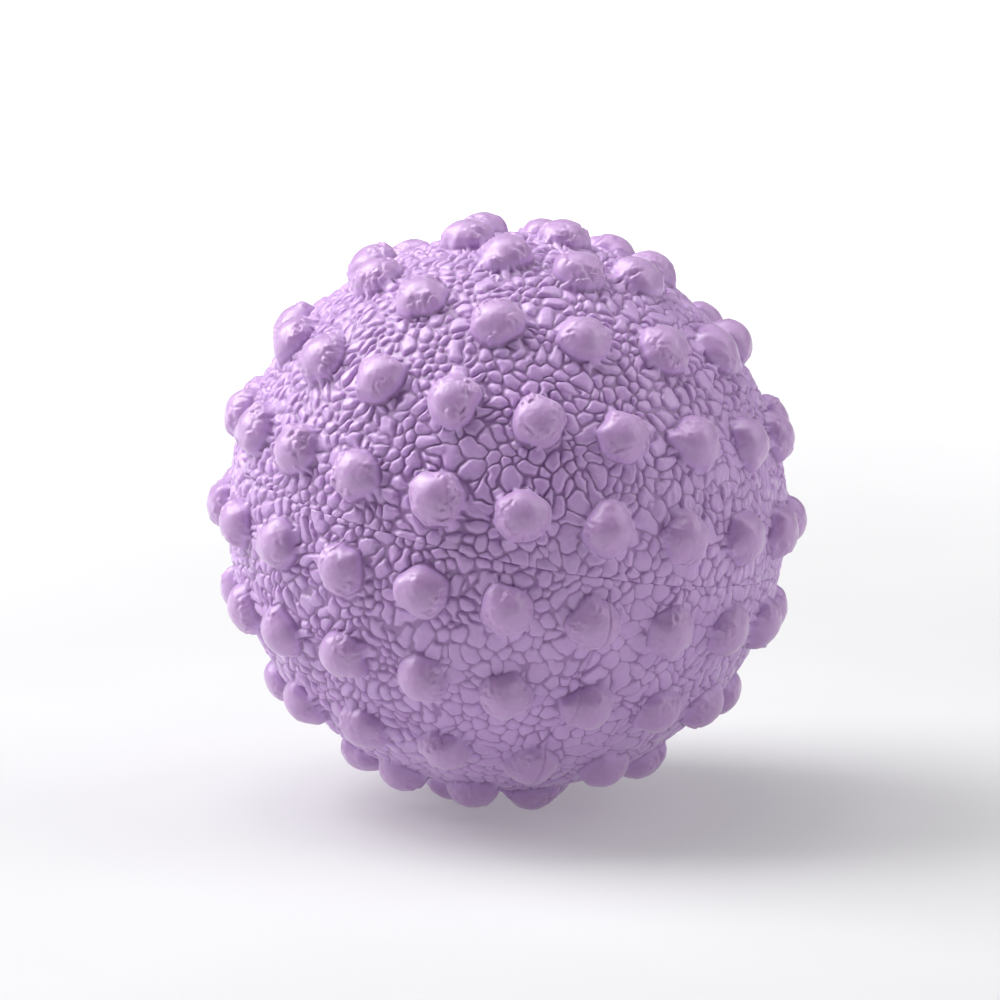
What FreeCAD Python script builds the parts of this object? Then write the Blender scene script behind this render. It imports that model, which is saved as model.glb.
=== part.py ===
import FreeCAD, Part
import math
import os

import Sketcher

# Nubbed massage ball: a firm core ball inside two soft half covers that meet on a parting plane.
# Frame: origin at the ball's centre, +Z square to the parting plane, towards the upper cover.
# Longitudes are counted from -Y, the front, towards +X.

# name, value in mm, meaning
SIZES = (
    ("tip_diameter", 45.0, "across two opposite nub tips"),
    ("skin_radius", 20.9, "ball centre to the skin between the nubs"),
    ("nub_radius", 2.15, "spherical radius of a nub"),
    ("root_fillet", 0.35, "fillet where a nub meets the skin"),
    ("core_radius", 15.0, "radius of the firm core ball"),
    ("film_thickness", 0.2, "bond film between the core and a cover"),
    ("tongue_middle", 18.0, "radius to the middle of the seam's tongue"),
    ("tongue_width", 1.4, "radial width of the tongue"),
    ("tongue_height", 1.0, "height of the tongue above the parting plane"),
    ("bond_gap", 0.2, "bonding compound on the tongue's sides and top"),
)

# ring name, latitude either side of the parting plane, nubs in the ring,
# longitude of the ring's first nub on the upper cover and on the lower cover (degrees)
RINGS = (
    ("seam_ring", 9.6, 20, 3.2, 4.2),
    ("middle_ring", 28.9, 18, 2.7, 8.3),
    ("shoulder_ring", 49.1, 13, 12.5, -3.6),
    ("polar_ring", 70.2, 8, 12.7, 12.5),
)

# half of the ball, and the side of the parting plane that it is on
HALVES = (("upper", 1), ("lower", -1))

PARTS_FOLDER = "parts"
FULL_TURN = 360.0
TOLERANCE = 0.001  # mm
DRAWN_LATITUDE = 45.0  # where a nub's section is drawn, before its own latitude drives it

# how a sketch numbers its axes and a curve's points
ORIGIN, H_AXIS, V_AXIS = -1, -1, -2
START, END, CENTRE = 1, 2, 3
CAVITY_RADIUS = "Sizes.core_radius + Sizes.film_thickness"
TONGUE_HALF = "Sizes.tongue_width / 2"
GROOVE_HALF = "Sizes.tongue_width / 2 + Sizes.bond_gap"
GROOVE_HEIGHT = "Sizes.tongue_height + Sizes.bond_gap"

doc = FreeCAD.newDocument("massage_ball")
sheet = doc.addObject("Spreadsheet::Sheet", "Sizes")
sub_parts = []


def fill_sheet():
    """Put every driving dimension in the sheet, as a plain number whose alias is its name."""
    entries = list(SIZES)
    for ring, latitude, count, upper_start, lower_start in RINGS:
        entries.append((f"{ring}_latitude", latitude, "degrees from the parting plane"))
        entries.append((f"{ring}_count", count, "nubs in the ring"))
        entries.append((f"{ring}_upper_start", upper_start, "longitude of the first upper nub"))
        entries.append((f"{ring}_lower_start", lower_start, "longitude of the first lower nub"))
    for row, (name, value, meaning) in enumerate(entries, start=1):
        sheet.set(f"A{row}", name)
        sheet.set(f"B{row}", str(value))
        sheet.set(f"C{row}", meaning)
        sheet.setAlias(f"B{row}", name)
    doc.recompute()


def size(name):
    """Read a size back from the sheet."""
    return float(getattr(sheet, name))


def new_body(label):
    """Start a sub-part, whose label is also its file's name."""
    body = doc.addObject("PartDesign::Body", label)
    body.Label = label
    body.Placement = FreeCAD.Placement()
    sub_parts.append(body)
    return body


def origin_feature(body, role):
    """Give the body's own origin plane or axis that has this role."""
    return next(item for item in body.Origin.OriginFeatures if item.Role == role)


def axial_sketch(body, name, turn=None):
    """Make a sketch in a plane through Z, whose x runs outwards and whose y runs up.

    turn is an expression for the plane's angle about Z, in degrees from +X.
    """
    sketch = body.newObject("Sketcher::SketchObject", name)
    sketch.AttachmentSupport = [(origin_feature(body, "XZ_Plane"), "")]
    sketch.MapMode = "FlatFace"
    if turn:
        about_y = FreeCAD.Rotation(FreeCAD.Vector(0, 1, 0), DRAWN_LATITUDE)
        sketch.AttachmentOffset = FreeCAD.Placement(FreeCAD.Vector(), about_y)
        sketch.setExpression("AttachmentOffset.Rotation.Angle", turn)
    return sketch


def bind(sketch, expression, kind, *geometry):
    """Add a dimension to a sketch and drive it by an expression."""
    index = sketch.addConstraint(Sketcher.Constraint(kind, *geometry))
    sketch.setExpression(f"Constraints[{index}]", expression)


def join(sketch, pairs):
    """Make pairs of points meet: each is (curve, end, curve, end)."""
    for pair in pairs:
        sketch.addConstraint(Sketcher.Constraint("Coincident", *pair))


def put_on(sketch, curve, end, line):
    """Keep an end of a curve on a line."""
    sketch.addConstraint(Sketcher.Constraint("PointOnObject", curve, end, line))


def draw_arc(sketch, centre, radius, first_degrees, last_degrees):
    """Add an arc to a sketch and return its number."""
    circle = Part.Circle(centre, FreeCAD.Vector(0, 0, 1), radius)
    first, last = math.radians(first_degrees), math.radians(last_degrees)
    return sketch.addGeometry(Part.ArcOfCircle(circle, first, last), False)


def draw_line(sketch, start, end, construction=False):
    """Add a straight line to a sketch, from (x, y) to (x, y), and return its number."""
    segment = Part.LineSegment(FreeCAD.Vector(*start, 0), FreeCAD.Vector(*end, 0))
    return sketch.addGeometry(segment, construction)


def turn_about(body, sketch, name, axis, kind="PartDesign::Revolution"):
    """Turn a sketch once round one of its own axes, to add material or to cut it away."""
    feature = body.newObject(kind, name)
    feature.Profile = sketch
    feature.ReferenceAxis = (sketch, [axis])
    feature.Angle = FULL_TURN
    body.Tip = feature
    doc.recompute()
    return feature


def half_shell(body, name, inner, outer, side):
    """Turn a quarter ring round Z: a half shell with its rim on the parting plane."""
    sketch = axial_sketch(body, f"{name}_section")
    inside, outside = size("core_radius"), size("skin_radius")
    first, last = (0, 90) if side > 0 else (-90, 0)
    at_rim, at_pole = (START, END) if side > 0 else (END, START)
    rim = draw_line(sketch, (inside, 0), (outside, 0))
    outer_arc = draw_arc(sketch, FreeCAD.Vector(), outside, first, last)
    pole = draw_line(sketch, (0, side * outside), (0, side * inside))
    inner_arc = draw_arc(sketch, FreeCAD.Vector(), inside, first, last)
    join(sketch, [
        (rim, END, outer_arc, at_rim), (outer_arc, at_pole, pole, START),
        (pole, END, inner_arc, at_pole), (inner_arc, at_rim, rim, START),
        (outer_arc, CENTRE, ORIGIN, START), (inner_arc, CENTRE, ORIGIN, START),
    ])
    for end in (START, END):
        put_on(sketch, rim, end, H_AXIS)
        put_on(sketch, pole, end, V_AXIS)
    bind(sketch, inner, "Radius", inner_arc, inside)
    bind(sketch, outer, "Radius", outer_arc, outside)
    return turn_about(body, sketch, name, "V_Axis")


def seam_band(body, name, half_width, height, kind="PartDesign::Revolution"):
    """Turn a rectangle that stands on the parting plane round Z, centred on the tongue's radius."""
    sketch = axial_sketch(body, f"{name}_section")
    middle, half = size("tongue_middle"), size("tongue_width") / 2
    top = size("tongue_height")
    corners = [(middle - half, 0), (middle + half, 0), (middle + half, top), (middle - half, top)]
    sides = [draw_line(sketch, corners[i], corners[(i + 1) % 4]) for i in range(4)]
    bottom, outer_side, upper_side, inner_side = sides
    join(sketch, [(sides[i], END, sides[(i + 1) % 4], START) for i in range(4)])
    put_on(sketch, bottom, START, H_AXIS)
    for line in (bottom, upper_side):
        sketch.addConstraint(Sketcher.Constraint("Horizontal", line))
    for line in (outer_side, inner_side):
        sketch.addConstraint(Sketcher.Constraint("Vertical", line))
    from_axis = ("DistanceX", ORIGIN, START, bottom)
    bind(sketch, f"Sizes.tongue_middle - ({half_width})", *from_axis, START, middle - half)
    bind(sketch, f"Sizes.tongue_middle + ({half_width})", *from_axis, END, middle + half)
    bind(sketch, height, "DistanceY", bottom, END, outer_side, END, top)
    return turn_about(body, sketch, name, "V_Axis", kind)


def nub(body, name, latitude, side, turn=None):
    """Turn a half disc round the radius at a latitude: one nub, sunk into the cover's wall."""
    sketch = axial_sketch(body, f"{name}_section", turn)
    radius, centre_distance = size("nub_radius"), size("tip_diameter") / 2 - size("nub_radius")
    angle = side * DRAWN_LATITUDE
    outward = FreeCAD.Vector(math.cos(math.radians(angle)), math.sin(math.radians(angle)), 0)
    centre = outward * centre_distance
    root, tip = centre - outward * radius, centre + outward * radius
    axis = draw_line(sketch, (0, 0), (centre.x, centre.y), construction=True)
    dome = draw_arc(sketch, centre, radius, angle - 180, angle)
    middle = draw_line(sketch, (root.x, root.y), (tip.x, tip.y))
    join(sketch, [
        (axis, START, ORIGIN, START), (dome, CENTRE, axis, END),
        (dome, START, middle, START), (dome, END, middle, END),
    ])
    for end in (START, END):
        put_on(sketch, dome, end, axis)
    bind(sketch, "Sizes.tip_diameter / 2 - Sizes.nub_radius", "Distance", axis, centre_distance)
    bind(sketch, "Sizes.nub_radius", "Radius", dome, radius)
    bind(sketch, f"{side} * {latitude} * 1 deg", "Angle", axis, math.radians(angle))
    return turn_about(body, sketch, name, "Axis0")


def nub_rings(body, half, side):
    """Add every ring of nubs and the nub on the pole to a half cover."""
    for ring, *_ in RINGS:
        turn = f"(Sizes.{ring}_{half}_start - 90) * 1 deg"
        first = nub(body, f"{half}_{ring}_nub", f"Sizes.{ring}_latitude", side, turn)
        pattern = body.newObject("PartDesign::PolarPattern", f"{half}_{ring}")
        pattern.Originals = [first]
        pattern.Axis = (origin_feature(body, "Z_Axis"), [""])
        pattern.Angle = FULL_TURN
        pattern.setExpression("Occurrences", f"Sizes.{ring}_count")
        body.Tip = pattern
        doc.recompute()
    nub(body, f"{half}_pole_nub", "90", side)


def root_radius():
    """Radius of the circle where a nub's sphere cuts the skin's sphere."""
    skin, nub_sphere = size("skin_radius"), size("nub_radius")
    apart = size("tip_diameter") / 2 - nub_sphere
    along = (apart**2 + skin**2 - nub_sphere**2) / (2 * apart)
    return math.sqrt(skin**2 - along**2)


def is_circle(edge, radius):
    """True if an edge is all or part of a circle of this radius."""
    if edge.Degenerated or not isinstance(edge.Curve, Part.Circle):
        return False
    return abs(edge.Curve.Radius - radius) < TOLERANCE


def fillet_nub_roots(body, name):
    """Round the circle where each nub meets the skin."""
    shaped = body.Tip
    edges = enumerate(shaped.Shape.Edges, start=1)
    roots = [f"Edge{number}" for number, edge in edges if is_circle(edge, root_radius())]
    fillet = body.newObject("PartDesign::Fillet", name)
    fillet.Base = (shaped, roots)
    fillet.setExpression("Radius", "Sizes.root_fillet")
    body.Tip = fillet
    doc.recompute()


def make_core_ball():
    """The firm solid ball at the middle."""
    body = new_body("core_ball")
    sketch = axial_sketch(body, "core_section")
    radius = size("core_radius")
    arc = draw_arc(sketch, FreeCAD.Vector(), radius, -90, 90)
    middle = draw_line(sketch, (0, radius), (0, -radius))
    join(sketch, [
        (arc, END, middle, START), (arc, START, middle, END), (arc, CENTRE, ORIGIN, START),
    ])
    for end in (START, END):
        put_on(sketch, middle, end, V_AXIS)
    bind(sketch, "Sizes.core_radius", "Radius", arc, radius)
    turn_about(body, sketch, "core_turn", "V_Axis")


def make_bond_film(half, side):
    """The thin film that holds one cover to the core."""
    body = new_body(f"{half}_bond_film")
    half_shell(body, f"{half}_film", "Sizes.core_radius", CAVITY_RADIUS, side)


def make_cover(half, side):
    """A soft half cover: its wall, its side of the seam joint, and its nubs."""
    body = new_body(f"{half}_cover")
    wall = half_shell(body, f"{half}_wall", CAVITY_RADIUS, "Sizes.skin_radius", side)
    before = wall.Shape.Volume
    if side > 0:
        jointed = seam_band(body, "seam_groove", GROOVE_HALF, GROOVE_HEIGHT, "PartDesign::Groove")
    else:
        jointed = seam_band(body, "seam_tongue", TONGUE_HALF, "Sizes.tongue_height")
    if side * (before - jointed.Shape.Volume) <= 0:
        raise RuntimeError(f"{half}_cover: the seam joint left the wall unchanged")
    nub_rings(body, half, side)
    fillet_nub_roots(body, f"{half}_root_fillets")


def make_seam_bond():
    """The bonding compound that fills the groove round the tongue."""
    body = new_body("seam_bond")
    filled = seam_band(body, "bond_ring", GROOVE_HALF, GROOVE_HEIGHT)
    before = filled.Shape.Volume
    hollowed = seam_band(body, "bond_hollow", TONGUE_HALF, "Sizes.tongue_height", "PartDesign::Groove")
    if hollowed.Shape.Volume >= before:
        raise RuntimeError("seam_bond: the tongue's space was not cut")


def check_document():
    """Stop if any object failed or any sub-part isn't one valid solid."""
    for item in doc.Objects:
        if "Invalid" in item.State or "Error" in item.State:
            raise RuntimeError(f"{item.Label} failed: {item.State}")
    for body in sub_parts:
        if body.Shape.isNull() or not body.Shape.isValid() or len(body.Shape.Solids) != 1:
            raise RuntimeError(f"{body.Label} is not one valid solid")


def write_parts():
    """Write each sub-part to a STEP file named after it."""
    os.makedirs(PARTS_FOLDER, exist_ok=True)
    for body in sub_parts:
        body.Shape.exportStep(os.path.join(PARTS_FOLDER, f"{body.Label}.step"))
        box = body.Shape.BoundBox
        extent = f"{box.XLength:.2f} x {box.YLength:.2f} x {box.ZLength:.2f} mm"
        print(f"{body.Label}: {extent}, {body.Shape.Volume / 1000:.3f} cm3")


fill_sheet()
make_core_ball()
for half_name, half_side in HALVES:
    make_bond_film(half_name, half_side)
    make_cover(half_name, half_side)
make_seam_bond()
doc.recompute()
check_document()
write_parts()
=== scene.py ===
import math

import bpy
import numpy as np
from mathutils import Matrix, Vector
from mathutils.kdtree import KDTree


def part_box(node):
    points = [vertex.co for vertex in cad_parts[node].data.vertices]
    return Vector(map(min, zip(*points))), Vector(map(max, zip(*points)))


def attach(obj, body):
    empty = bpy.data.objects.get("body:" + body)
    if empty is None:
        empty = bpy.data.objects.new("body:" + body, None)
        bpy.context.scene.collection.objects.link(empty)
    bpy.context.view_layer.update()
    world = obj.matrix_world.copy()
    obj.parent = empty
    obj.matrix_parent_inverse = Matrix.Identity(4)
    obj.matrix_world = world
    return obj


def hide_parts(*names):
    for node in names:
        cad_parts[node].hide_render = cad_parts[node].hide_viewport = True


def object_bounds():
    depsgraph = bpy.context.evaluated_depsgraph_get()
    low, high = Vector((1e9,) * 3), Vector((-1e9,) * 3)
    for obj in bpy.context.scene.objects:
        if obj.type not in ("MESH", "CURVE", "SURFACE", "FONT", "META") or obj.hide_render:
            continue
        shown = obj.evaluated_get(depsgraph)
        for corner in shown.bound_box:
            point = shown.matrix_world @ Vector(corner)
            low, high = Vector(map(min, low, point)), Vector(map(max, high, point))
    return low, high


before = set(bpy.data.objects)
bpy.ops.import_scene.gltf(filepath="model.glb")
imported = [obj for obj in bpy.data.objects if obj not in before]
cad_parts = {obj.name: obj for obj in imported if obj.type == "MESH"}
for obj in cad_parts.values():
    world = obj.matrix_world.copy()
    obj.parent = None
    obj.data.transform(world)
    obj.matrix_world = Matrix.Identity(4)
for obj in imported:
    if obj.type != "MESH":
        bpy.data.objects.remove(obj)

# The massage ball's looks. The two soft covers are built as closed meshes with their real relief: domed
# nubs on a pebbled skin. All lengths in this script are millimetres until a mesh or a lamp is made.
MM = 0.001

# --- the design's own sizes, as the CAD model has them --------------------------------------------

CAD_LOW, CAD_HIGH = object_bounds()
TIP_RADIUS = CAD_HIGH.z / MM
CAVITY_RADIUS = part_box("upper_bond_film")[1].z / MM
TONGUE_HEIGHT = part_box("lower_cover")[1].z / MM
GROOVE_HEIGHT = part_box("seam_bond")[1].z / MM
GROOVE_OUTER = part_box("seam_bond")[1].x / MM
BOND_GAP = GROOVE_HEIGHT - TONGUE_HEIGHT
TONGUE_MIDDLE = 18.0
SKIN_RADIUS = 20.9
NUB_RADIUS = 2.15

# The rings of nubs: latitude either side of the parting plane, nubs in the ring, and the longitude of the
# ring's first nub on the upper and on the lower cover, counted from the front, -Y, towards +X (degrees).
RINGS = (
    (9.6, 20, 3.2, 4.2),
    (28.9, 18, 2.7, 8.3),
    (49.1, 13, 12.5, -3.6),
    (70.2, 8, 12.7, 12.5),
)


def unit(vectors):
    """Scale vectors to length 1."""
    return vectors / np.linalg.norm(vectors, axis=-1, keepdims=True)


def smooth_step(low, high, value):
    """Rise smoothly from 0 at low to 1 at high."""
    share = np.clip((value - low) / (high - low), 0.0, 1.0)
    return share * share * (3.0 - 2.0 * share)


def direction(latitude, longitude):
    """The direction at a latitude and a longitude, both in degrees."""
    lat, lon = math.radians(latitude), math.radians(longitude)
    return np.array((math.cos(lat) * math.sin(lon), -math.cos(lat) * math.cos(lon), math.sin(lat)))


# --- the skin's fine shape ------------------------------------------------------------------------

MESH_STEP = 0.09          # distance between neighbouring points of the skin's mesh
NUB_REACH = 2.9           # arc from a nub's axis to where its mesh spacing is normal again
ROOT_BLEND = 0.25         # softness of the corner between nub and skin
PROFILE_POINTS = 400      # points in the table of a nub's profile
PROFILE_HALVINGS = 40     # steps of the search for each of its radii

PAD_HEIGHT = 0.28         # a pebble's top above the groove round it
PAD_EDGE = 0.27           # width of a pebble's rounded edge
PAD_SQUARENESS = 2.0      # how full the edge's rounding is
PAD_CORNER = 0.095        # rounding of a pebble's corners, as seen from above
PAD_CROWN = 0.06          # how much a pebble's middle stands above its edge
GROOVE_HALF = 0.04        # half the width of the flat bottom of a groove, where it isn't worn
# cells in three sizes: largest and smallest radius, and share of the tries
CELL_SIZES = ((0.74, 0.56, 0.13), (0.54, 0.40, 0.45), (0.37, 0.27, 0.42))
CELL_TRIES = 50000
CELL_SHRINK = 0.22        # how much smaller the cells are away from the worn side
CELL_GAP = 0.93           # distance between two cells' middles, as a share of their radii added up
CELL_OVERLAP = 2.0        # how far the pattern goes on past the parting plane
MERGED_SHARE = 0.16       # share of the cells that run into a neighbour
MERGE_CHOICES = 4         # how many of its nearest neighbours that one is picked from
MERGE_BLEND = 0.15        # mm2, how gradually merged cells become one
CELL_NEIGHBOURS = 16      # cells looked at round each point
CELL_BATCH = 60000        # points read at a time
CELL_APART = 0.1          # least distance between two cells' middles when edges are measured
CELL_LEVEL = 0.028        # how much pebbles differ in height
CELL_LEAN = 0.05          # how much they lean, mm per mm
LEVEL_LIMIT = 1.5         # the most a pebble's height differs, in units of that
LEAN_LIMIT = 2.0          # the same for its lean
CROWN_REACH = 0.8         # distance inside the edge where the crown is full
SKIN_LEVEL = 0.75         # where the plain skin lies between the grooves, 0, and the pebbles' tops, 1
DRIFT, DRIFT_WAVE = 0.24, 3.6      # slow warp of the pattern, and its wavelength
WOBBLE, WOBBLE_WAVE = 0.05, 0.85   # fine warp of the pebbles' outlines, and its wavelength
DRAWN_REACH = 2.7         # arc from a nub's axis within which pebbles are drawn out towards it
DRAWN_OUT = 0.78          # their spacing there, as a share of what it is elsewhere
DRAWN_INNER = 0.5         # arc from a nub's axis below which this eases off

NUB_FOOT = 2.06           # arc from a nub's axis to its foot
FOOT_FADE = 0.35          # width of the change from nub to skin
JOINED_REACH = 0.25       # how far pebbles run into a nub where they join it
JOINED_WAVE = 2.2         # wavelength of the patches where they do
JOINED_PATCH = (0.1, 0.8) # where these patches begin and are full, from -1 to 1
NUB_OUTLINE = 0.10        # how far a nub's outline is from round
OUTLINE_WAVE = 1.8        # and the wavelength of that
OUTLINE_REACH = (0.7, 1.8)  # arc from a nub's axis where that begins and is full
NUB_WANDER = 0.06         # how far a nub sits off its ring
WANDER_LEAST = 0.5        # arc below which a nub's wander is no longer shared out
NUB_SIZE_CHANGE = 0.02    # how much nubs differ in size, as a share
NUB_SWELL = 0.022         # slow dents and bulges on a nub's top
SWELL_WAVE = 3.0
NUB_TOP = (1.4, 2.0)      # arc from a nub's axis where its top's own shape begins to fade, and has gone
WRINKLE = 0.048           # fine wrinkles on a nub's shoulder
WRINKLE_WAVE = 0.42
SHOULDER_INNER = (0.8, 1.5)    # arc from a nub's axis where its wrinkled shoulder begins and is full
SHOULDER_OUTER = (1.95, 2.25)  # the same for its end
SHOULDER_WAVE = 2.4            # wavelength of the patches where shoulders are wrinkled
SHOULDER_PATCH = (-0.5, 0.7)
FOLD_HEIGHT = 0.24        # how deep the folds on a nub's flank are, at most
FOLD_REACH = (0.60, 1.25)  # arc from a nub's axis where the folds begin, and where they are full
FOLD_STRETCH = 0.85       # the pebbles' size as a share of the folds'
FOLD_FOOT = 0.25          # how far above the foot they fade
FOLD_LEVEL = 0.4          # where a nub's plain flank lies between the folds' bottoms, 0, and tops, 1
FOLD_WORN = 0.5           # how worn the folds are
FOLD_PATCH = (-0.8, 0.6)
NUB_FOLDED = (0.6, 1.0)   # share of the folds' depth on a nub
LEAST_FOLDED = 0.15       # what is left of that away from the folded side
FOLDED_REACH = (0.1, 0.9) # where that side begins and is full, as cosines
GRAIN_HEIGHT = 0.006      # unevenness all over
GRAIN_WAVE = 0.42

STREAKED_SIDE = direction(8, 78)  # the side where the skin is drawn into fine upright streaks
STREAKED_REACH = (0.60, 0.92)     # where that side begins and is full, as cosines
STREAK_HEIGHT = 0.035
STREAK_SIZE = 0.55        # distance between streaks
STREAK_SLANT = 0.22       # their width as a share of their length
WITNESS_ARC = 1.98        # arc from a nub's axis to the mould pin's witness line
WITNESS_DEPTH = 0.035
WITNESS_WIDTH = 0.07
WITNESS_SPAN = (0.35, 0.75)  # the stretch of the ring that shows, as cosines of the turn from its middle
WITNESS_SIZE = 0.1        # only nubs larger than this, in units of how they differ, have the line

SEAM_DEPTH = 0.045        # the hairline where the covers meet
SEAM_WIDTH = 0.10
SEAM_STEP = 0.02          # each cover's mismatch at the seam
SEAM_STEP_FADE = (0.3, 0.8)  # distance from the seam where that begins to fade, and has gone
CREASE_LONGITUDE = 24.0   # the mould's fine upright crease on the lower cover
CREASE_ENDS = (-4.0, -60.0)
CREASE_FADES = (3.0, 6.0)  # degrees over which it starts and stops
CREASE_WANDER = 0.12      # how far it strays from its meridian
CREASE_TURNS = 1.1        # how quickly it strays, in radians for each mm of height
CREASE_DEPTH = 0.20
CREASE_WIDTH = 0.13
WORN_SIDE = direction(-26, 50)    # the side where the pebbles are flattest
WORN_REACH = (0.15, 0.9)  # where that side begins and is full, as cosines
WORN_PATCHES, WORN_WAVE = 0.25, 7.0  # how uneven the wear is, and the wavelength of its patches
WORN_FLATTER = 0.55       # the share of their height that fully worn pebbles have lost
WORN_NARROWER = 0.35      # the share of their rounded edge's width that they have lost
WORN_AXIS = tuple(float(part) for part in WORN_SIDE)
FOLDED_SIDE = direction(45, -60)  # the side where the nubs' flanks are folded most
SEED_UPPER, SEED_LOWER = 11, 23

CAVITY_STEP = 0.8         # mesh spacing on the hidden inner surfaces
RIM_GAPS = (0.06, 0.03, 0.0)  # the mesh's last rows, by their distance from the seam
ROW_TURN = 0.618          # how far each row of points is turned past the last one, in steps


class Waves:
    """A smooth random field: a sum of sine waves in random directions, about 1 in size."""

    def __init__(self, rng, wavelength, count=28, width=1):
        turn = unit(rng.normal(size=(width, count, 3)))
        length = wavelength * rng.uniform(0.7, 1.5, size=(width, count, 1))
        self.waves = 2 * math.pi * turn / length
        self.phases = rng.uniform(0, 2 * math.pi, size=(width, count))
        self.scale = math.sqrt(2 / count)

    def __call__(self, points):
        fields = [
            np.sin(points @ waves.T + phases).sum(axis=1) * self.scale
            for waves, phases in zip(self.waves, self.phases)
        ]
        return fields[0] if len(fields) == 1 else np.stack(fields, axis=1)


def scatter_cells(rng, side):
    """Throw cells over half a sphere and a little more, largest first, and keep those that fit."""
    reach = 2 * CELL_SIZES[0][0]
    grid, centres, radii = {}, [], []
    for largest, smallest, share in CELL_SIZES:
        for _ in range(int(CELL_TRIES * share)):
            height = rng.uniform(-CELL_OVERLAP / SKIN_RADIUS, 1.0) * side
            turn = rng.uniform(0, 2 * math.pi)
            across = math.sqrt(1 - height * height)
            point = (SKIN_RADIUS * across * math.cos(turn), SKIN_RADIUS * across * math.sin(turn),
                     SKIN_RADIUS * height)
            worn = 0.5 + 0.5 * sum(a * b for a, b in zip(point, WORN_AXIS)) / SKIN_RADIUS
            radius = rng.uniform(smallest, largest) * (1 - CELL_SHRINK * (1 - worn))
            key = tuple(int(math.floor(c / reach)) for c in point)
            if fits(grid, centres, radii, key, point, radius):
                grid.setdefault(key, []).append(len(centres))
                centres.append(point)
                radii.append(radius)
    return np.array(centres), np.array(radii)


def fits(grid, centres, radii, key, point, radius):
    """True if a new cell keeps its distance from every cell near it."""
    for x in (key[0] - 1, key[0], key[0] + 1):
        for y in (key[1] - 1, key[1], key[1] + 1):
            for z in (key[2] - 1, key[2], key[2] + 1):
                for other in grid.get((x, y, z), ()):
                    if math.dist(centres[other], point) < CELL_GAP * (radii[other] + radius):
                        return False
    return True


class Pebbles:
    """The pattern of pebbles on one cover."""

    def __init__(self, rng, side):
        self.centres, self.radii = scatter_cells(rng, side)
        self.tree = KDTree(len(self.centres))
        for number, centre in enumerate(self.centres):
            self.tree.insert(centre, number)
        self.tree.balance()
        self.near = np.array([
            [number for _, number, _ in self.tree.find_n(centre, CELL_NEIGHBOURS)] for centre in self.centres
        ])
        self.group = np.arange(len(self.centres))
        for number in np.flatnonzero(rng.random(len(self.centres)) < MERGED_SHARE):
            self.group[number] = self.group[self.near[number, rng.integers(1, MERGE_CHOICES + 1)]]
        self.level = rng.normal(size=len(self.centres))
        self.lean = rng.normal(size=(len(self.centres), 3))

    def read(self, points):
        """For points on the skin's sphere: distance to the pebble's edge, and the number of the pebble."""
        nearest = np.array([self.tree.find(point)[1] for point in points])
        inside, owner = np.empty(len(points)), np.empty(len(points), int)
        for start in range(0, len(points), CELL_BATCH):
            part = slice(start, start + CELL_BATCH)
            inside[part], owner[part] = self.edges(points[part], self.near[nearest[part]])
        return inside, owner

    def edges(self, points, near):
        """The same, where near holds the numbers of the cells round each point."""
        middles = self.centres[near]
        power = ((points[:, None] - middles) ** 2).sum(axis=2) - self.radii[near] ** 2
        first = power.argmin(axis=1)
        rows = np.arange(len(points))
        own = near[rows, first]
        beyond = power - power[rows, first][:, None]
        same = self.group[near] == self.group[own][:, None]
        weight = np.where(same, np.exp(-beyond / MERGE_BLEND), 0)
        own_middle = (weight[..., None] * middles).sum(axis=1) / weight.sum(axis=1)[:, None]
        apart = np.linalg.norm(middles - own_middle[:, None], axis=2)
        edge = np.where(same, np.inf, beyond / (2 * np.maximum(apart, CELL_APART)))
        closest = edge.min(axis=1)
        rounded = closest - PAD_CORNER * np.log(np.exp(-(edge - closest[:, None]) / PAD_CORNER).sum(axis=1))
        return rounded, own


def nub_axes(upper):
    """The direction of every nub on one cover."""
    side = 1 if upper else -1
    axes = [np.array((0.0, 0.0, float(side)))]
    for latitude, count, upper_start, lower_start in RINGS:
        start = upper_start if upper else lower_start
        axes += [direction(side * latitude, start + 360 * i / count) for i in range(count)]
    return np.array(axes)


def nub_profile():
    """The plain nubbed surface round a nub's axis, as a table of arcs, radii and lengths along it."""
    arcs = np.linspace(0, NUB_REACH, PROFILE_POINTS)
    angles = arcs / SKIN_RADIUS
    middle = TIP_RADIUS - NUB_RADIUS
    low, high = np.full(len(arcs), SKIN_RADIUS - 1.0), np.full(len(arcs), TIP_RADIUS + 1.0)
    for _ in range(PROFILE_HALVINGS):
        radius = (low + high) / 2
        to_skin = radius - SKIN_RADIUS
        to_nub = np.sqrt(radius**2 + middle**2 - 2 * radius * middle * np.cos(angles)) - NUB_RADIUS
        gap = np.clip(0.5 + 0.5 * (to_nub - to_skin) / ROOT_BLEND, 0, 1)
        joined = to_nub * (1 - gap) + to_skin * gap - ROOT_BLEND * gap * (1 - gap)
        high = np.where(joined > 0, radius, high)
        low = np.where(joined > 0, low, radius)
    steps = np.hypot(np.diff(arcs), np.diff(radius))
    return arcs, radius, np.concatenate([[0], np.cumsum(steps)])


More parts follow.
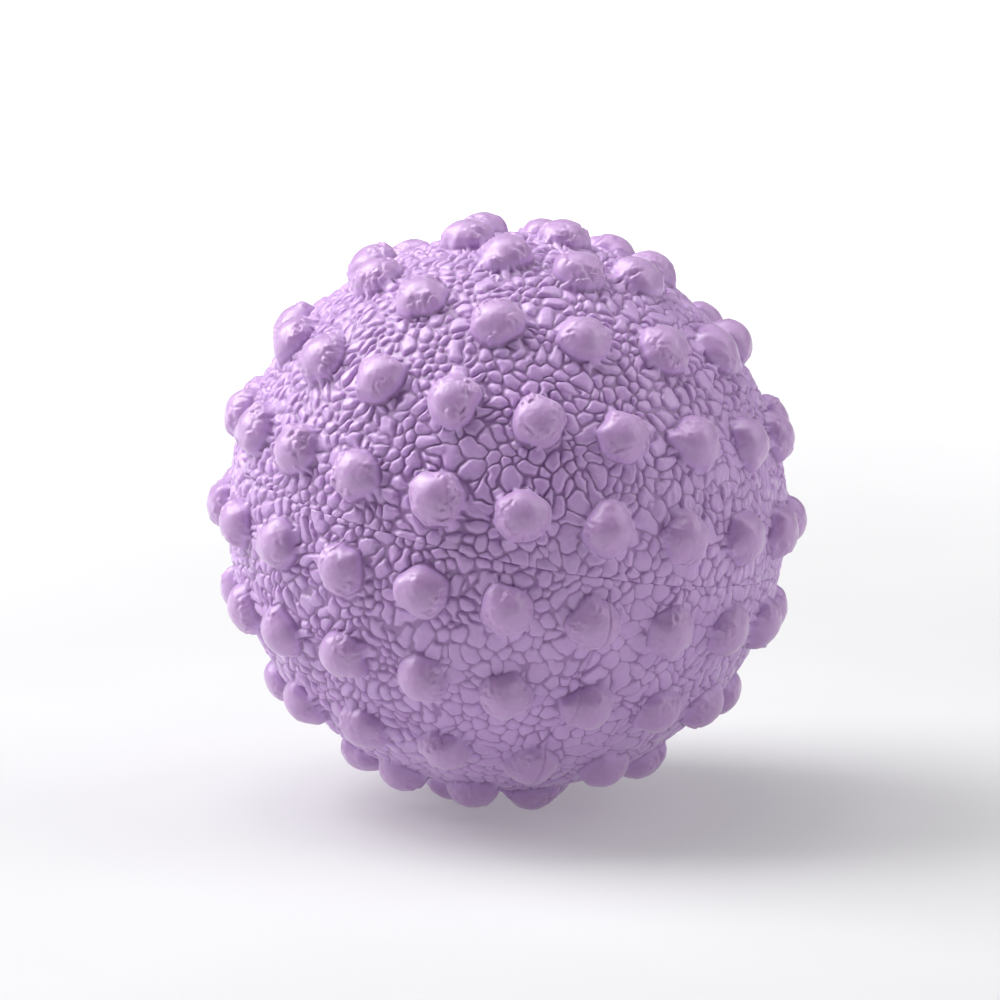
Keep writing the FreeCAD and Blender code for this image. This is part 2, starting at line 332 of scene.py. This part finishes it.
def stitch(turns_a, turns_b, first_a, first_b):
    """Triangles between two closed rows of points, given each point's turn and each row's first number."""
    count_a, count_b = len(turns_a), len(turns_b)
    if count_a == 1:
        ring = np.arange(count_b)
        return np.stack([np.full(count_b, first_a), first_b + ring, first_b + (ring + 1) % count_b], axis=1)
    if count_b == 1:
        return stitch(turns_b, turns_a, first_b, first_a)[:, ::-1]
    full = 2 * math.pi
    offset = (turns_b[0] - turns_a[0] + math.pi) % full - math.pi
    step_a, step_b = full / count_a, full / count_b
    ends_a = (np.arange(count_a) + 0.5) * step_a
    ends_b = (np.arange(count_b) + 0.5) * step_b + offset
    order = np.argsort(np.concatenate([ends_a, ends_b]), kind="stable")
    is_a = order < count_a
    done_a = np.concatenate([[0], np.cumsum(is_a)])[:-1]
    done_b = np.concatenate([[0], np.cumsum(~is_a)])[:-1]
    a, b = first_a + done_a % count_a, first_b + done_b % count_b
    next_a, next_b = first_a + (done_a + 1) % count_a, first_b + (done_b + 1) % count_b
    return np.stack([a, b, np.where(is_a, next_a, next_b)], axis=1)


class Skin:
    """The outer surface of one cover: a radius for every direction, with masks for the material."""

    def __init__(self, upper):
        self.side = 1 if upper else -1
        rng = np.random.default_rng(SEED_UPPER if upper else SEED_LOWER)
        self.axes = nub_axes(upper)
        self.pebbles = Pebbles(rng, self.side)
        self.drift = Waves(rng, DRIFT_WAVE, width=3)
        self.wobble = Waves(rng, WOBBLE_WAVE, width=3)
        self.swell = Waves(rng, SWELL_WAVE)
        self.grain = Waves(rng, GRAIN_WAVE, count=40)
        self.worn_patch = Waves(rng, WORN_WAVE)
        self.joined_patch = Waves(rng, JOINED_WAVE)
        self.outline = Waves(rng, OUTLINE_WAVE)
        self.wrinkle = Waves(rng, WRINKLE_WAVE, count=40)
        self.shoulder_patch = Waves(rng, SHOULDER_WAVE)
        self.nub_tilt = rng.normal(size=(len(self.axes), 3))
        self.nub_size = rng.normal(size=len(self.axes))
        self.ring_turn = rng.uniform(0, 2 * math.pi, size=len(self.axes))
        folded = LEAST_FOLDED + (1 - LEAST_FOLDED) * smooth_step(*FOLDED_REACH, self.axes @ FOLDED_SIDE)
        self.nub_folded = rng.uniform(*NUB_FOLDED, size=len(self.axes)) * folded
        self.streaks = Waves(rng, STREAK_SIZE, count=60)
        self.streaks.waves[..., 2] *= STREAK_SLANT
        self.nub_east = unit(np.cross((0.02, 0.03, 1.0), self.axes))
        self.nub_north = np.cross(self.axes, self.nub_east)
        self.profile = nub_profile()

    def nearest_nub(self, directions):
        """The number of the nub nearest to each direction, and the arc to its axis."""
        cosines = directions @ self.axes.T
        nub = cosines.argmax(axis=1)
        cosine = np.clip(cosines[np.arange(len(nub)), nub], -1, 1)
        return nub, np.arccos(cosine) * SKIN_RADIUS

    def spread_over_nubs(self, directions):
        """Draw the mesh's points up the nubs' flanks, so that they are evenly spaced along the surface."""
        arcs, _, lengths = self.profile
        nub, arc = self.nearest_nub(directions)
        close = (arc < NUB_REACH) & (arc > 1e-6)
        axis = self.axes[nub[close]]
        outward = unit(directions[close] - axis * (directions[close] * axis).sum(axis=1, keepdims=True))
        moved = np.interp(arc[close] / NUB_REACH * lengths[-1], lengths, arcs) / SKIN_RADIUS
        spread = directions.copy()
        spread[close] = axis * np.cos(moved)[:, None] + outward * np.sin(moved)[:, None]
        return spread

    def pattern_points(self, directions, nub, arc):
        """Where each point lies on the pebble pattern, which is drawn out towards the nubs and warped."""
        axis = self.axes[nub]
        outward = directions - axis * (directions * axis).sum(axis=1, keepdims=True)
        outward = outward / np.maximum(np.linalg.norm(outward, axis=1, keepdims=True), 1e-9)
        inside = np.clip(DRAWN_REACH - arc, 0, DRAWN_REACH)
        pulled = inside * (1 - DRAWN_OUT) * smooth_step(0, DRAWN_INNER, arc)
        points = directions * SKIN_RADIUS + outward * pulled[:, None]
        points = points + DRIFT * self.drift(points) + WOBBLE * self.wobble(points)
        return unit(points) * SKIN_RADIUS

    def relief(self, directions):
        """At each direction: radius, how raised it is, pebble number, share of nub and how wrinkled."""
        nub, arc = self.nearest_nub(directions)
        points = directions * SKIN_RADIUS
        inside, owner = self.pebbles.read(self.pattern_points(directions, nub, arc))
        reach = self.nub_reach(points, nub, arc)
        joined = smooth_step(*JOINED_PATCH, self.joined_patch(points))
        inside = np.minimum(inside, reach - NUB_FOOT + JOINED_REACH * joined)
        worn = smooth_step(*WORN_REACH, directions @ WORN_SIDE) + WORN_PATCHES * self.worn_patch(points)
        worn = np.clip(worn, 0, 1)
        pad = self.pad(inside, worn)
        nub_pad = self.pad(NUB_FOOT - reach, worn)
        raised = np.maximum(pad, nub_pad)
        on_nub = 1 - smooth_step(NUB_FOOT - FOOT_FADE, NUB_FOOT, reach)
        depth = PAD_HEIGHT * (1 - WORN_FLATTER * worn)
        pebble = self.pebble_height(points, inside, owner) * pad
        radius = SKIN_RADIUS + depth * (raised - SKIN_LEVEL) + pebble * (1 - on_nub) + self.dome(reach)
        wrinkled = self.wrinkled(points, arc)
        top = 1 - smooth_step(*NUB_TOP, arc)
        radius += NUB_SWELL * self.swell(points) * top + WRINKLE * self.wrinkle(points) * wrinkled
        radius += self.folds(directions, nub, arc, reach)
        streaked = smooth_step(*STREAKED_REACH, directions @ STREAKED_SIDE) * (1 - on_nub)
        radius += STREAK_HEIGHT * streaked * self.streaks(points)
        radius += GRAIN_HEIGHT * self.grain(points) + self.mould_marks(points, nub, arc)
        return radius, raised, owner, on_nub, wrinkled

    def folds(self, directions, nub, arc, reach):
        """Height of the worm-like folds where the pebbled skin climbs a nub's flank."""
        height = np.zeros(len(arc))
        flank = np.flatnonzero((arc > FOLD_REACH[0]) & (reach < NUB_FOOT))
        axis, lengths = self.axes[nub[flank]], self.profile[2]
        outward = unit(directions[flank] - axis * (directions[flank] * axis).sum(axis=1, keepdims=True))
        along = np.interp(arc[flank], self.profile[0], lengths) * FOLD_STRETCH / SKIN_RADIUS
        points = (axis * np.cos(along)[:, None] + outward * np.sin(along)[:, None]) * SKIN_RADIUS
        inside, _ = self.pebbles.read(unit(points + DRIFT * self.drift(points)) * SKIN_RADIUS)
        pad = self.pad(inside, FOLD_WORN)
        above_foot = 1 - smooth_step(NUB_FOOT - FOLD_FOOT, NUB_FOOT, reach[flank])
        share = smooth_step(*FOLD_REACH, arc[flank]) * above_foot
        share *= self.nub_folded[nub[flank]] * smooth_step(*FOLD_PATCH, self.shoulder_patch(points))
        height[flank] = FOLD_HEIGHT * share * (pad - FOLD_LEVEL)
        return height

    def pad(self, inside, worn):
        """The rounded shape of a pebble's edge: 0 in the groove and 1 on its top."""
        groove = GROOVE_HALF * (1 - worn)
        edge = PAD_EDGE * (1 - WORN_NARROWER * worn)
        return 1 - (1 - np.clip((inside - groove) / edge, 0, 1)) ** PAD_SQUARENESS

    def pebble_height(self, points, inside, owner):
        """What makes each pebble's top its own: its crown, level and lean."""
        lean = (self.pebbles.lean[owner] * (points - self.pebbles.centres[owner])).sum(axis=1)
        lean = np.clip(lean, -LEAN_LIMIT, LEAN_LIMIT)
        level = np.clip(self.pebbles.level[owner], -LEVEL_LIMIT, LEVEL_LIMIT)
        return PAD_CROWN * smooth_step(0, CROWN_REACH, inside) + CELL_LEVEL * level + CELL_LEAN * lean

    def nub_reach(self, points, nub, arc):
        """Arc from the nub's axis, as if every nub were round and in its place."""
        from_axis = (self.nub_tilt[nub] * (points - self.axes[nub] * SKIN_RADIUS)).sum(axis=1)
        moved = arc + NUB_WANDER * from_axis / np.maximum(arc, WANDER_LEAST)
        moved = moved * (1 - NUB_SIZE_CHANGE * self.nub_size[nub])
        return moved - NUB_OUTLINE * self.outline(points) * smooth_step(*OUTLINE_REACH, arc)

    def dome(self, reach):
        """Height of the nubs over the plain skin."""
        arcs, radii, _ = self.profile
        return np.interp(np.clip(reach, 0, NUB_REACH), arcs, radii) - SKIN_RADIUS

    def wrinkled(self, points, arc):
        """How wrinkled a nub's shoulder is, in patches."""
        shoulder = smooth_step(*SHOULDER_INNER, arc) * (1 - smooth_step(*SHOULDER_OUTER, arc))
        return shoulder * smooth_step(*SHOULDER_PATCH, self.shoulder_patch(points))

    def mould_marks(self, points, nub, arc):
        """The fine lines the mould leaves: seam, crease and the pins' witness lines, as changes of radius."""
        along = np.abs(points[:, 2])
        change = -SEAM_DEPTH * (1 - smooth_step(0, SEAM_WIDTH, along))
        change += self.side * SEAM_STEP * (1 - smooth_step(*SEAM_STEP_FADE, along))
        outward = points - self.axes[nub] * SKIN_RADIUS
        east = (outward * self.nub_east[nub]).sum(axis=1)
        north = (outward * self.nub_north[nub]).sum(axis=1)
        turn = np.arctan2(east, north)
        marked = smooth_step(*WITNESS_SPAN, np.cos(turn - self.ring_turn[nub]))
        marked = marked * (self.nub_size[nub] > WITNESS_SIZE)
        line = 1 - smooth_step(0, WITNESS_WIDTH, np.abs(arc - WITNESS_ARC))
        change -= WITNESS_DEPTH * marked * line
        if self.side < 0:
            change -= self.crease(points)
        return change

    def crease(self, points):
        """Depth of the upright crease."""
        lon = math.radians(CREASE_LONGITUDE)
        across = points @ np.array((math.cos(lon), math.sin(lon), 0))
        front = points @ np.array((math.sin(lon), -math.cos(lon), 0)) > 0
        latitude = np.degrees(np.arcsin(np.clip(points[:, 2] / SKIN_RADIUS, -1, 1)))
        top, bottom = CREASE_ENDS
        starts, stops = CREASE_FADES
        ends = (1 - smooth_step(top, top + starts, latitude)) * smooth_step(bottom - stops, bottom, latitude)
        wander = CREASE_WANDER * np.sin(points[:, 2] * CREASE_TURNS)
        return CREASE_DEPTH * front * ends * (1 - smooth_step(0, CREASE_WIDTH, np.abs(across - wander)))


def lathe_rows(upper):
    """The rows of a cover's mesh across the hidden faces of the seam joint, as radii and heights."""
    if upper:
        half, top = GROOVE_OUTER - TONGUE_MIDDLE, GROOVE_HEIGHT
    else:
        half, top = GROOVE_OUTER - TONGUE_MIDDLE - BOND_GAP, TONGUE_HEIGHT
    outer, inner = TONGUE_MIDDLE + half, TONGUE_MIDDLE - half
    return [(outer, 0), (outer, top), (inner, top), (inner, 0), (CAVITY_RADIUS, 0)]


def ring_count(radius, step):
    """How many points of a row fit round a circle."""
    return max(6, round(2 * math.pi * radius / step))


def circle(turns, radius, height):
    """The points of a level circle about the ball's axis, at these turns."""
    return np.stack([radius * np.cos(turns), radius * np.sin(turns), np.full(len(turns), height)], axis=1)


def cover_mesh(name, upper):
    """One soft cover as a closed mesh: textured skin, seam joint and cavity."""
    skin = Skin(upper)
    steps = round(math.pi / 2 * SKIN_RADIUS / MESH_STEP)
    angles = [math.pi / 2 * i / steps for i in range(1, steps)]
    angles += [math.pi / 2 - gap / SKIN_RADIUS for gap in RIM_GAPS]
    rows = [(0.0, 1)] + [(a, ring_count(SKIN_RADIUS * math.sin(a), MESH_STEP)) for a in angles]
    turns = [(np.arange(n) + ROW_TURN * i % 1) * 2 * math.pi / n for i, (_, n) in enumerate(rows)]
    directions = np.concatenate([
        circle(turn, math.sin(angle), math.cos(angle) * skin.side) for (angle, _), turn in zip(rows, turns)
    ])
    directions = skin.spread_over_nubs(directions)
    radius, raised, owner, on_nub, wrinkled = skin.relief(directions)
    points = [directions * radius[:, None]]
    points[0][-rows[-1][1]:, 2] = 0.0
    outer_rows = len(rows)

    for ring, height in lathe_rows(upper):
        count = ring_count(ring, CAVITY_STEP)
        turn = np.arange(count) * 2 * math.pi / count
        turns.append(turn)
        points.append(circle(turn, ring, height))
    profile_rows = len(turns)
    cavity_steps = round(math.pi / 2 * CAVITY_RADIUS / CAVITY_STEP)
    for step in range(cavity_steps - 1, -1, -1):
        angle = math.pi / 2 * step / cavity_steps
        count = ring_count(CAVITY_RADIUS * math.sin(angle), CAVITY_STEP) if step else 1
        turn = np.arange(count) * 2 * math.pi / count
        turns.append(turn)
        ring, height = CAVITY_RADIUS * math.sin(angle), CAVITY_RADIUS * math.cos(angle) * skin.side
        points.append(circle(turn, ring, height))

    firsts = np.concatenate([[0], np.cumsum([len(t) for t in turns])])
    bands = [stitch(turns[i], turns[i + 1], firsts[i], firsts[i + 1]) for i in range(len(turns) - 1)]
    flat = [outer_rows - 1 <= i < profile_rows - 1 for i in range(len(bands))]
    smooth = np.concatenate([np.full(len(band), not is_flat) for band, is_flat in zip(bands, flat)])
    triangles = np.concatenate(bands)
    if not upper:
        triangles = triangles[:, ::-1]
    vertices = np.concatenate(points)
    inner = len(vertices) - len(directions)
    masks = {
        "raised": np.concatenate([raised, np.ones(inner)]),
        "on_nub": np.concatenate([on_nub, np.zeros(inner)]),
        "wrinkled": np.concatenate([wrinkled, np.zeros(inner)]),
        "pebble": np.concatenate([skin.pebbles.level[owner], np.zeros(inner)]),
    }
    return make_mesh(name, vertices * MM, triangles, smooth, masks)


def make_mesh(name, vertices, triangles, smooth, masks):
    """Make a Blender object from arrays of points, triangles and one number for each point."""
    mesh = bpy.data.meshes.new(name)
    mesh.vertices.add(len(vertices))
    mesh.vertices.foreach_set("co", vertices.astype(np.float32).ravel())
    mesh.loops.add(triangles.size)
    mesh.loops.foreach_set("vertex_index", triangles.astype(np.int32).ravel())
    mesh.polygons.add(len(triangles))
    mesh.polygons.foreach_set("loop_start", np.arange(0, triangles.size, 3, dtype=np.int32))
    mesh.polygons.foreach_set("use_smooth", smooth)
    mesh.update(calc_edges=True)
    mesh.validate()
    for mask, values in masks.items():
        attribute = mesh.attributes.new(mask, "FLOAT", "POINT")
        attribute.data.foreach_set("value", values.astype(np.float32))
    piece = bpy.data.objects.new(name, mesh)
    bpy.context.scene.collection.objects.link(piece)
    return piece


# --- materials ------------------------------------------------------------------------------------

# A colour mix node has inputs and outputs for numbers, vectors and colours: these are the colours' numbers.
MIX_SHARE, MIX_FIRST, MIX_SECOND, MIX_RESULT = 0, 6, 7, 2


class Finish:
    """A material's node tree, with a short call for each node it needs."""

    def __init__(self, name):
        self.material = bpy.data.materials.new(name)
        self.material.use_nodes = True
        self.tree = self.material.node_tree
        self.shader = self.tree.nodes["Principled BSDF"]
        self.output = self.tree.nodes["Material Output"]

    def put(self, node, inputs):
        """Set a node's inputs: a socket is linked, anything else is the value."""
        for name, value in inputs.items():
            if isinstance(value, bpy.types.NodeSocket):
                self.tree.links.new(value, node.inputs[name])
            else:
                node.inputs[name].default_value = value

    def add(self, kind, inputs=None, **settings):
        """Add a node with its settings and inputs."""
        node = self.tree.nodes.new("ShaderNode" + kind)
        for name, value in settings.items():
            setattr(node, name, value)
        self.put(node, inputs or {})
        return node

    def place(self):
        """Where each point is on the object, in millimetres."""
        where = self.add("TexCoord").outputs["Object"]
        return self.add("VectorMath", {0: where, "Scale": 1 / MM}, operation="SCALE").outputs["Vector"]

    def noise(self, place, size, detail=2.0):
        """Cloudy noise from 0 to 1 with features of a size in mm."""
        inputs = {"Vector": place, "Scale": 1 / size, "Detail": detail, "Roughness": 0.55}
        return self.add("TexNoise", inputs).outputs["Fac"]

    def spread(self, value, low, high, to_low, to_high):
        """Map a range of values to another one, smoothly."""
        inputs = {"Value": value, "From Min": low, "From Max": high, "To Min": to_low, "To Max": to_high}
        return self.add("MapRange", inputs, interpolation_type="SMOOTHSTEP").outputs["Result"]

    def mask(self, name):
        """A number that a mesh carries at each point."""
        return self.add("Attribute", attribute_name=name).outputs["Fac"]

    def blend(self, share, first, second):
        """Mix two colours."""
        node = self.add("Mix", data_type="RGBA")
        self.put(node, {MIX_SHARE: share, MIX_FIRST: first, MIX_SECOND: second})
        return node.outputs[MIX_RESULT]

    def bump(self, height, distance, strength=1.0):
        """A fine relief of a height in mm."""
        inputs = {"Height": height, "Distance": distance * MM, "Strength": strength}
        return self.add("Bump", inputs).outputs["Normal"]


def colour(red, green, blue):
    """A colour for a socket, from its linear parts."""
    return (red, green, blue, 1.0)


PAD_COLOURS = (colour(0.515, 0.315, 0.64), colour(0.565, 0.35, 0.68))
PEBBLE_TINT = colour(0.61, 0.395, 0.73)
NUB_COLOUR = colour(0.51, 0.305, 0.585)
SPECK_COLOUR = colour(0.62, 0.43, 0.71)
# painted shade: the grooves' darker, deeper colour stands in for the shade that falls in them
GROOVE_SHADE_COLOUR = colour(0.36, 0.19, 0.45)


def skin_finish():
    """Soft lavender thermoplastic rubber, satin, with painted shade that makes its grooves darker and deeper
    in colour.
    """
    finish = Finish("lavender_skin")
    place = finish.place()
    raised = finish.mask("raised")
    cloud = finish.noise(place, 6.0, 3.0)
    speck = finish.noise(place, 0.35, 3.0)
    pad = finish.blend(finish.spread(cloud, 0.3, 0.7, 0.0, 1.0), PAD_COLOURS[0], PAD_COLOURS[1])
    each = finish.spread(finish.mask("pebble"), -2.0, 2.0, 0.0, 0.35)
    pad = finish.blend(each, pad, PEBBLE_TINT)
    pad = finish.blend(finish.spread(finish.mask("on_nub"), 0.2, 1.0, 0.0, 0.8), pad, NUB_COLOUR)
    pad = finish.blend(finish.spread(speck, 0.35, 0.75, 0.0, 0.22), pad, SPECK_COLOUR)
    finish.put(finish.shader, {
        # painted shade in the grooves: low points take the darker groove colour, blended in by how raised
        # each point is
        "Base Color": finish.blend(finish.spread(raised, 0.0, 0.6, 0.0, 1.0), GROOVE_SHADE_COLOUR, pad),
        "Roughness": finish.spread(finish.noise(place, 0.9, 3.0), 0.3, 0.7, 0.36, 0.50),
        "Specular IOR Level": 0.70,
        "Subsurface Weight": 0.35,
        "Subsurface Radius": (1.0, 0.6, 0.95),
        "Subsurface Scale": 0.45 * MM,
        "Coat Weight": 0.34,
        "Coat Roughness": 0.23,
        "Sheen Weight": 0.45,
        "Sheen Roughness": 0.35,
        "Normal": skin_bump(finish, place),
    })
    return finish.material


def skin_bump(finish, place):
    """The finest relief: a faint grain all over and small bumps on the wrinkled shoulders of the nubs."""
    grain = finish.bump(finish.noise(place, 0.16, 3.0), 0.02, 0.5)
    bumps = finish.spread(finish.noise(place, 0.34, 1.0), 0.35, 0.75, 0.0, 1.0)
    height = finish.add("Math", {0: bumps, 1: finish.mask("wrinkled")}, operation="MULTIPLY").outputs["Value"]
    return finish.add("Bump", {"Height": height, "Distance": 0.03 * MM, "Normal": grain}).outputs["Normal"]


def core_finish():
    """Firm grey rubber with paler and darker crumbs, as a pressed core has."""
    finish = Finish("core_rubber")
    place = finish.place()
    crumbs = finish.add("TexVoronoi", {"Vector": place, "Scale": 0.8}).outputs["Color"]
    share = finish.spread(crumbs, 0.2, 0.8, 0.0, 1.0)
    finish.put(finish.shader, {
        "Base Color": finish.blend(share, colour(0.10, 0.10, 0.11), colour(0.22, 0.21, 0.22)),
        "Roughness": finish.spread(finish.noise(place, 1.5, 3.0), 0.3, 0.7, 0.60, 0.78),
        "Normal": finish.bump(finish.noise(place, 0.5, 4.0), 0.06),
    })
    return finish.material


def bond_finish():
    """Thin amber film of set adhesive, with thicker and thinner patches."""
    finish = Finish("bond_film")
    place = finish.place()
    share = finish.spread(finish.noise(place, 3.0, 3.0), 0.3, 0.7, 0.0, 1.0)
    finish.put(finish.shader, {
        "Base Color": finish.blend(share, colour(0.62, 0.47, 0.24), colour(0.74, 0.62, 0.38)),
        "Roughness": finish.spread(finish.noise(place, 1.0, 2.0), 0.3, 0.7, 0.22, 0.40),
        "Transmission Weight": 0.35,
        "Normal": finish.bump(finish.noise(place, 1.2, 2.0), 0.05),
    })
    return finish.material


def floor_finish():
    """Plain pale floor that shines faintly, more so far from the ball, and isn't seen from below."""
    finish = Finish("floor_white")
    place = finish.place()
    share = finish.spread(finish.noise(place, 40.0, 2.0), 0.3, 0.7, 0.0, 1.0)
    from_middle = finish.add("VectorMath", {0: place}, operation="LENGTH").outputs["Value"]
    finish.put(finish.shader, {
        "Base Color": finish.blend(share, colour(0.50, 0.50, 0.51), colour(0.52, 0.52, 0.53)),
        "Roughness": 0.7,
        "Emission Color": colour(1, 1, 1),
        "Emission Strength": finish.spread(from_middle, *FLOOR_FADE, FLOOR_GLOW, SEEN_WHITE),
    })
    below = finish.add("NewGeometry").outputs["Backfacing"]
    clear = finish.add("BsdfTransparent").outputs["BSDF"]
    mix = finish.add("MixShader", {0: below, 1: finish.shader.outputs["BSDF"], 2: clear})
    finish.put(finish.output, {"Surface": mix.outputs["Shader"]})
    return finish.material


# --- camera, floor and light ----------------------------------------------------------------------

CAMERA_TILT = 9.97        # degrees the camera looks down at the ball's equator
CAMERA_ROLL = 11.72       # degrees the ball's pole leans to the right in the picture
CAMERA_DISTANCE = 560.0
PICTURE_WIDTH = 75.1      # what the picture spans at the ball's middle
SENSOR_WIDTH = 36.0
FRAME_SHIFT = (-0.0073, 0.0113)
FLOOR_TILT = 11.0         # degrees between the line of sight and the floor
FLOOR_SIZE = 6000.0
FLOOR_GLOW = 0.24         # the floor's own light under the ball, which keeps the shadow pale
FLOOR_FADE = (60.0, 420.0)  # how far from the ball the floor turns into the white of the room


def camera_axes():
    """Right, up and backwards of the camera, in the ball's frame."""
    tilt, roll = math.radians(CAMERA_TILT), math.radians(CAMERA_ROLL)
    back = Vector((0, -math.cos(tilt), math.sin(tilt)))
    level, upright = Vector((1, 0, 0)), Vector((0, math.sin(tilt), math.cos(tilt)))
    right = level * math.cos(roll) + upright * math.sin(roll)
    return right, upright * math.cos(roll) - level * math.sin(roll), back


def stage_axes():
    """Right, up and towards the viewer for the floor and lamps: the ball lies turned on its floor."""
    right, above, back = camera_axes()
    tilt = math.radians(FLOOR_TILT)
    up = above * math.cos(tilt) + back * math.sin(tilt)
    return right, up, back * math.cos(tilt) - above * math.sin(tilt)


def axes_matrix(right, up, back, place):
    """The world matrix of something with these axes and place."""
    turned = Matrix((right, up, back)).transposed().to_4x4()
    turned.translation = place
    return turned


def add_camera():
    """The camera, at the angle of the photograph."""
    data = bpy.data.cameras.new("camera")
    data.sensor_width = SENSOR_WIDTH
    data.lens = SENSOR_WIDTH * CAMERA_DISTANCE / PICTURE_WIDTH
    data.shift_x, data.shift_y = FRAME_SHIFT
    data.clip_start, data.clip_end = 0.01, 20.0
    camera = bpy.data.objects.new("camera", data)
    bpy.context.scene.collection.objects.link(camera)
    right, up, back = camera_axes()
    camera.matrix_world = axes_matrix(right, up, back, back * CAMERA_DISTANCE * MM)
    bpy.context.scene.camera = camera


def add_floor(covers):
    """A floor under the lowest nubs."""
    right, up, back = stage_axes()
    lowest = min(lowest_point(cover, up) for cover in covers)
    half = FLOOR_SIZE / 2 * MM
    mesh = bpy.data.meshes.new("floor")
    corners = [(-half, -half, 0), (half, -half, 0), (half, half, 0), (-half, half, 0)]
    mesh.from_pydata(corners, [], [(0, 1, 2, 3)])
    mesh.materials.append(floor_finish())
    floor = bpy.data.objects.new("floor", mesh)
    bpy.context.scene.collection.objects.link(floor)
    floor.matrix_world = axes_matrix(right, -back, up, up * lowest)


def lowest_point(piece, up):
    """How low a piece's mesh reaches along a direction, in metres."""
    count = len(piece.data.vertices)
    points = np.empty(count * 3, np.float32)
    piece.data.vertices.foreach_get("co", points)
    return float((points.reshape(count, 3) @ np.array(up)).min())


# Each soft box: the angle from the line of sight to it, its turn about that line from the right, and its
# watts. They stand beside the ball, most of them just behind it, as in a light tent with the camera in its
# dark mouth.
LAMPS = {
    "left": (98, 165, 0.60),
    "upper_left": (98, 135, 3.15),
    "top_left": (98, 112, 1.05),
    "top": (98, 90, 0.85),
    "upper_right": (98, 45, 0.58),
    "right": (80, 25, 0.74),
}
LAMP_DISTANCE = 540.0
LAMP_SIZE = 400.0
ROOM_LIGHT = 0.02
SEEN_WHITE = 1.05         # the room's white behind the ball, which only the camera sees


def add_lamps():
    """Soft boxes round the ball, and a white room."""
    right, up, towards = stage_axes()
    for name, (angle, turn, power) in LAMPS.items():
        data = bpy.data.lights.new(name, "AREA")
        data.shape, data.size, data.energy = "SQUARE", LAMP_SIZE * MM, power
        lamp = bpy.data.objects.new(name, data)
        bpy.context.scene.collection.objects.link(lamp)
        angle, turn = math.radians(angle), math.radians(turn)
        across = right * math.cos(turn) + up * math.sin(turn)
        line = across * math.sin(angle) + towards * math.cos(angle)
        turned = line.to_track_quat("Z", "Y").to_matrix().to_4x4()
        turned.translation = line * LAMP_DISTANCE * MM
        lamp.matrix_world = turned
        lamp.visible_camera = False
    world = bpy.data.worlds.new("room")
    bpy.context.scene.world = world
    world.use_nodes = True
    tree = world.node_tree
    room = tree.nodes["Background"]
    room.inputs["Strength"].default_value = ROOM_LIGHT
    seen = tree.nodes.new("ShaderNodeBackground")
    seen.inputs["Color"].default_value = colour(1, 1, 1)
    seen.inputs["Strength"].default_value = SEEN_WHITE
    path = tree.nodes.new("ShaderNodeLightPath")
    mix = tree.nodes.new("ShaderNodeMixShader")
    tree.links.new(path.outputs["Is Camera Ray"], mix.inputs[0])
    tree.links.new(room.outputs[0], mix.inputs[1])
    tree.links.new(seen.outputs[0], mix.inputs[2])
    tree.links.new(mix.outputs[0], tree.nodes["World Output"].inputs["Surface"])
    bpy.context.scene.view_settings.view_transform = "Standard"


def paint_nodes(names, material):
    """Give nodes of the CAD model their material."""
    for name in names:
        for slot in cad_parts[name].material_slots:
            slot.material = material


add_camera()
covers = []
for name, upper in (("upper_cover_skin", True), ("lower_cover_skin", False)):
    cover = cover_mesh(name, upper)
    covers.append(cover)
    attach(cover, "root")
    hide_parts("upper_cover" if upper else "lower_cover")
skin = skin_finish()
for cover in covers:
    cover.data.materials.append(skin)
add_floor(covers)
add_lamps()
paint_nodes(["core_ball"], core_finish())
paint_nodes(["upper_bond_film", "lower_bond_film", "seam_bond"], bond_finish())
